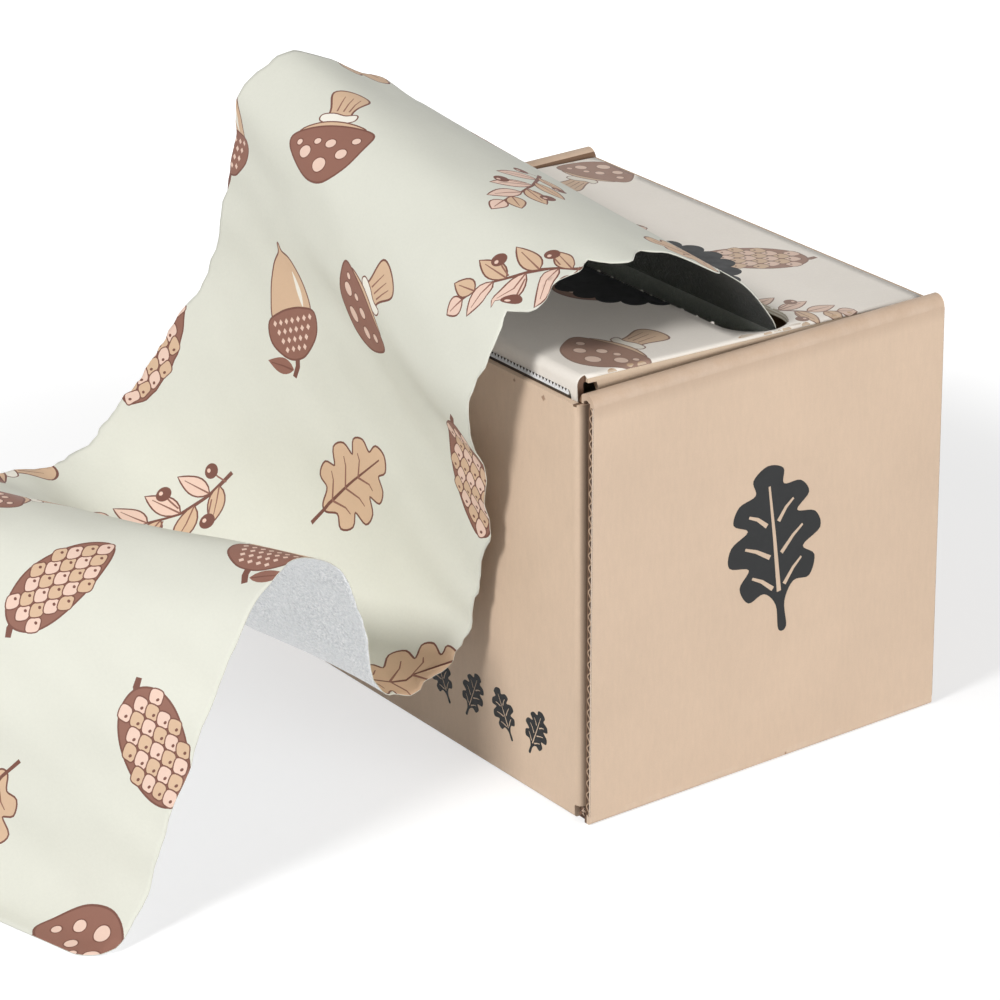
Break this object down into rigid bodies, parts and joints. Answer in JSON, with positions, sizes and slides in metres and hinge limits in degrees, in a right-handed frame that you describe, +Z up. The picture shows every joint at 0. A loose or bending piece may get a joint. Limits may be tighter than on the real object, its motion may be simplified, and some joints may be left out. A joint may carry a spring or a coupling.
{
  "type": "foil roll in dispenser carton",
  "caption": "Printed aluminium foil roll in a folded corrugated dispenser carton, its web drawn out through a slot in the hinged lid and draped down to the table.",
  "frame": {"origin": "middle of the carton's base, on the table", "axes": "+Z up; -Y towards the carton's front wall, over which the web hangs; +X to the right as seen from the front"},
  "size_m": [0.1622, 0.2666, 0.1541],
  "materials": {
    "tray": "matte",
    "lid": "matte",
    "cutter": "satin",
    "foil_roll": "satin",
    "core_tube": "matte",
    "foil_strip": "satin",
    "foil_tail": "satin"
  },
  "bodies": {
    "carton": {"tray": "tray", "cutter": "cutter", "foil_roll": "foil_roll", "core_tube": "core_tube"},
    "lid": {"lid": "lid", "foil_strip": "foil_strip", "foil_tail": "foil_tail"}
  },
  "joints": [
    {"name": "lid_hinge", "type": "hinge", "parent": "carton", "child": "lid", "pos_m": [0, 0.0524, 0.1064], "axis": [-1, 0, 0], "range_deg": [-2.3, 115]}
  ]
}
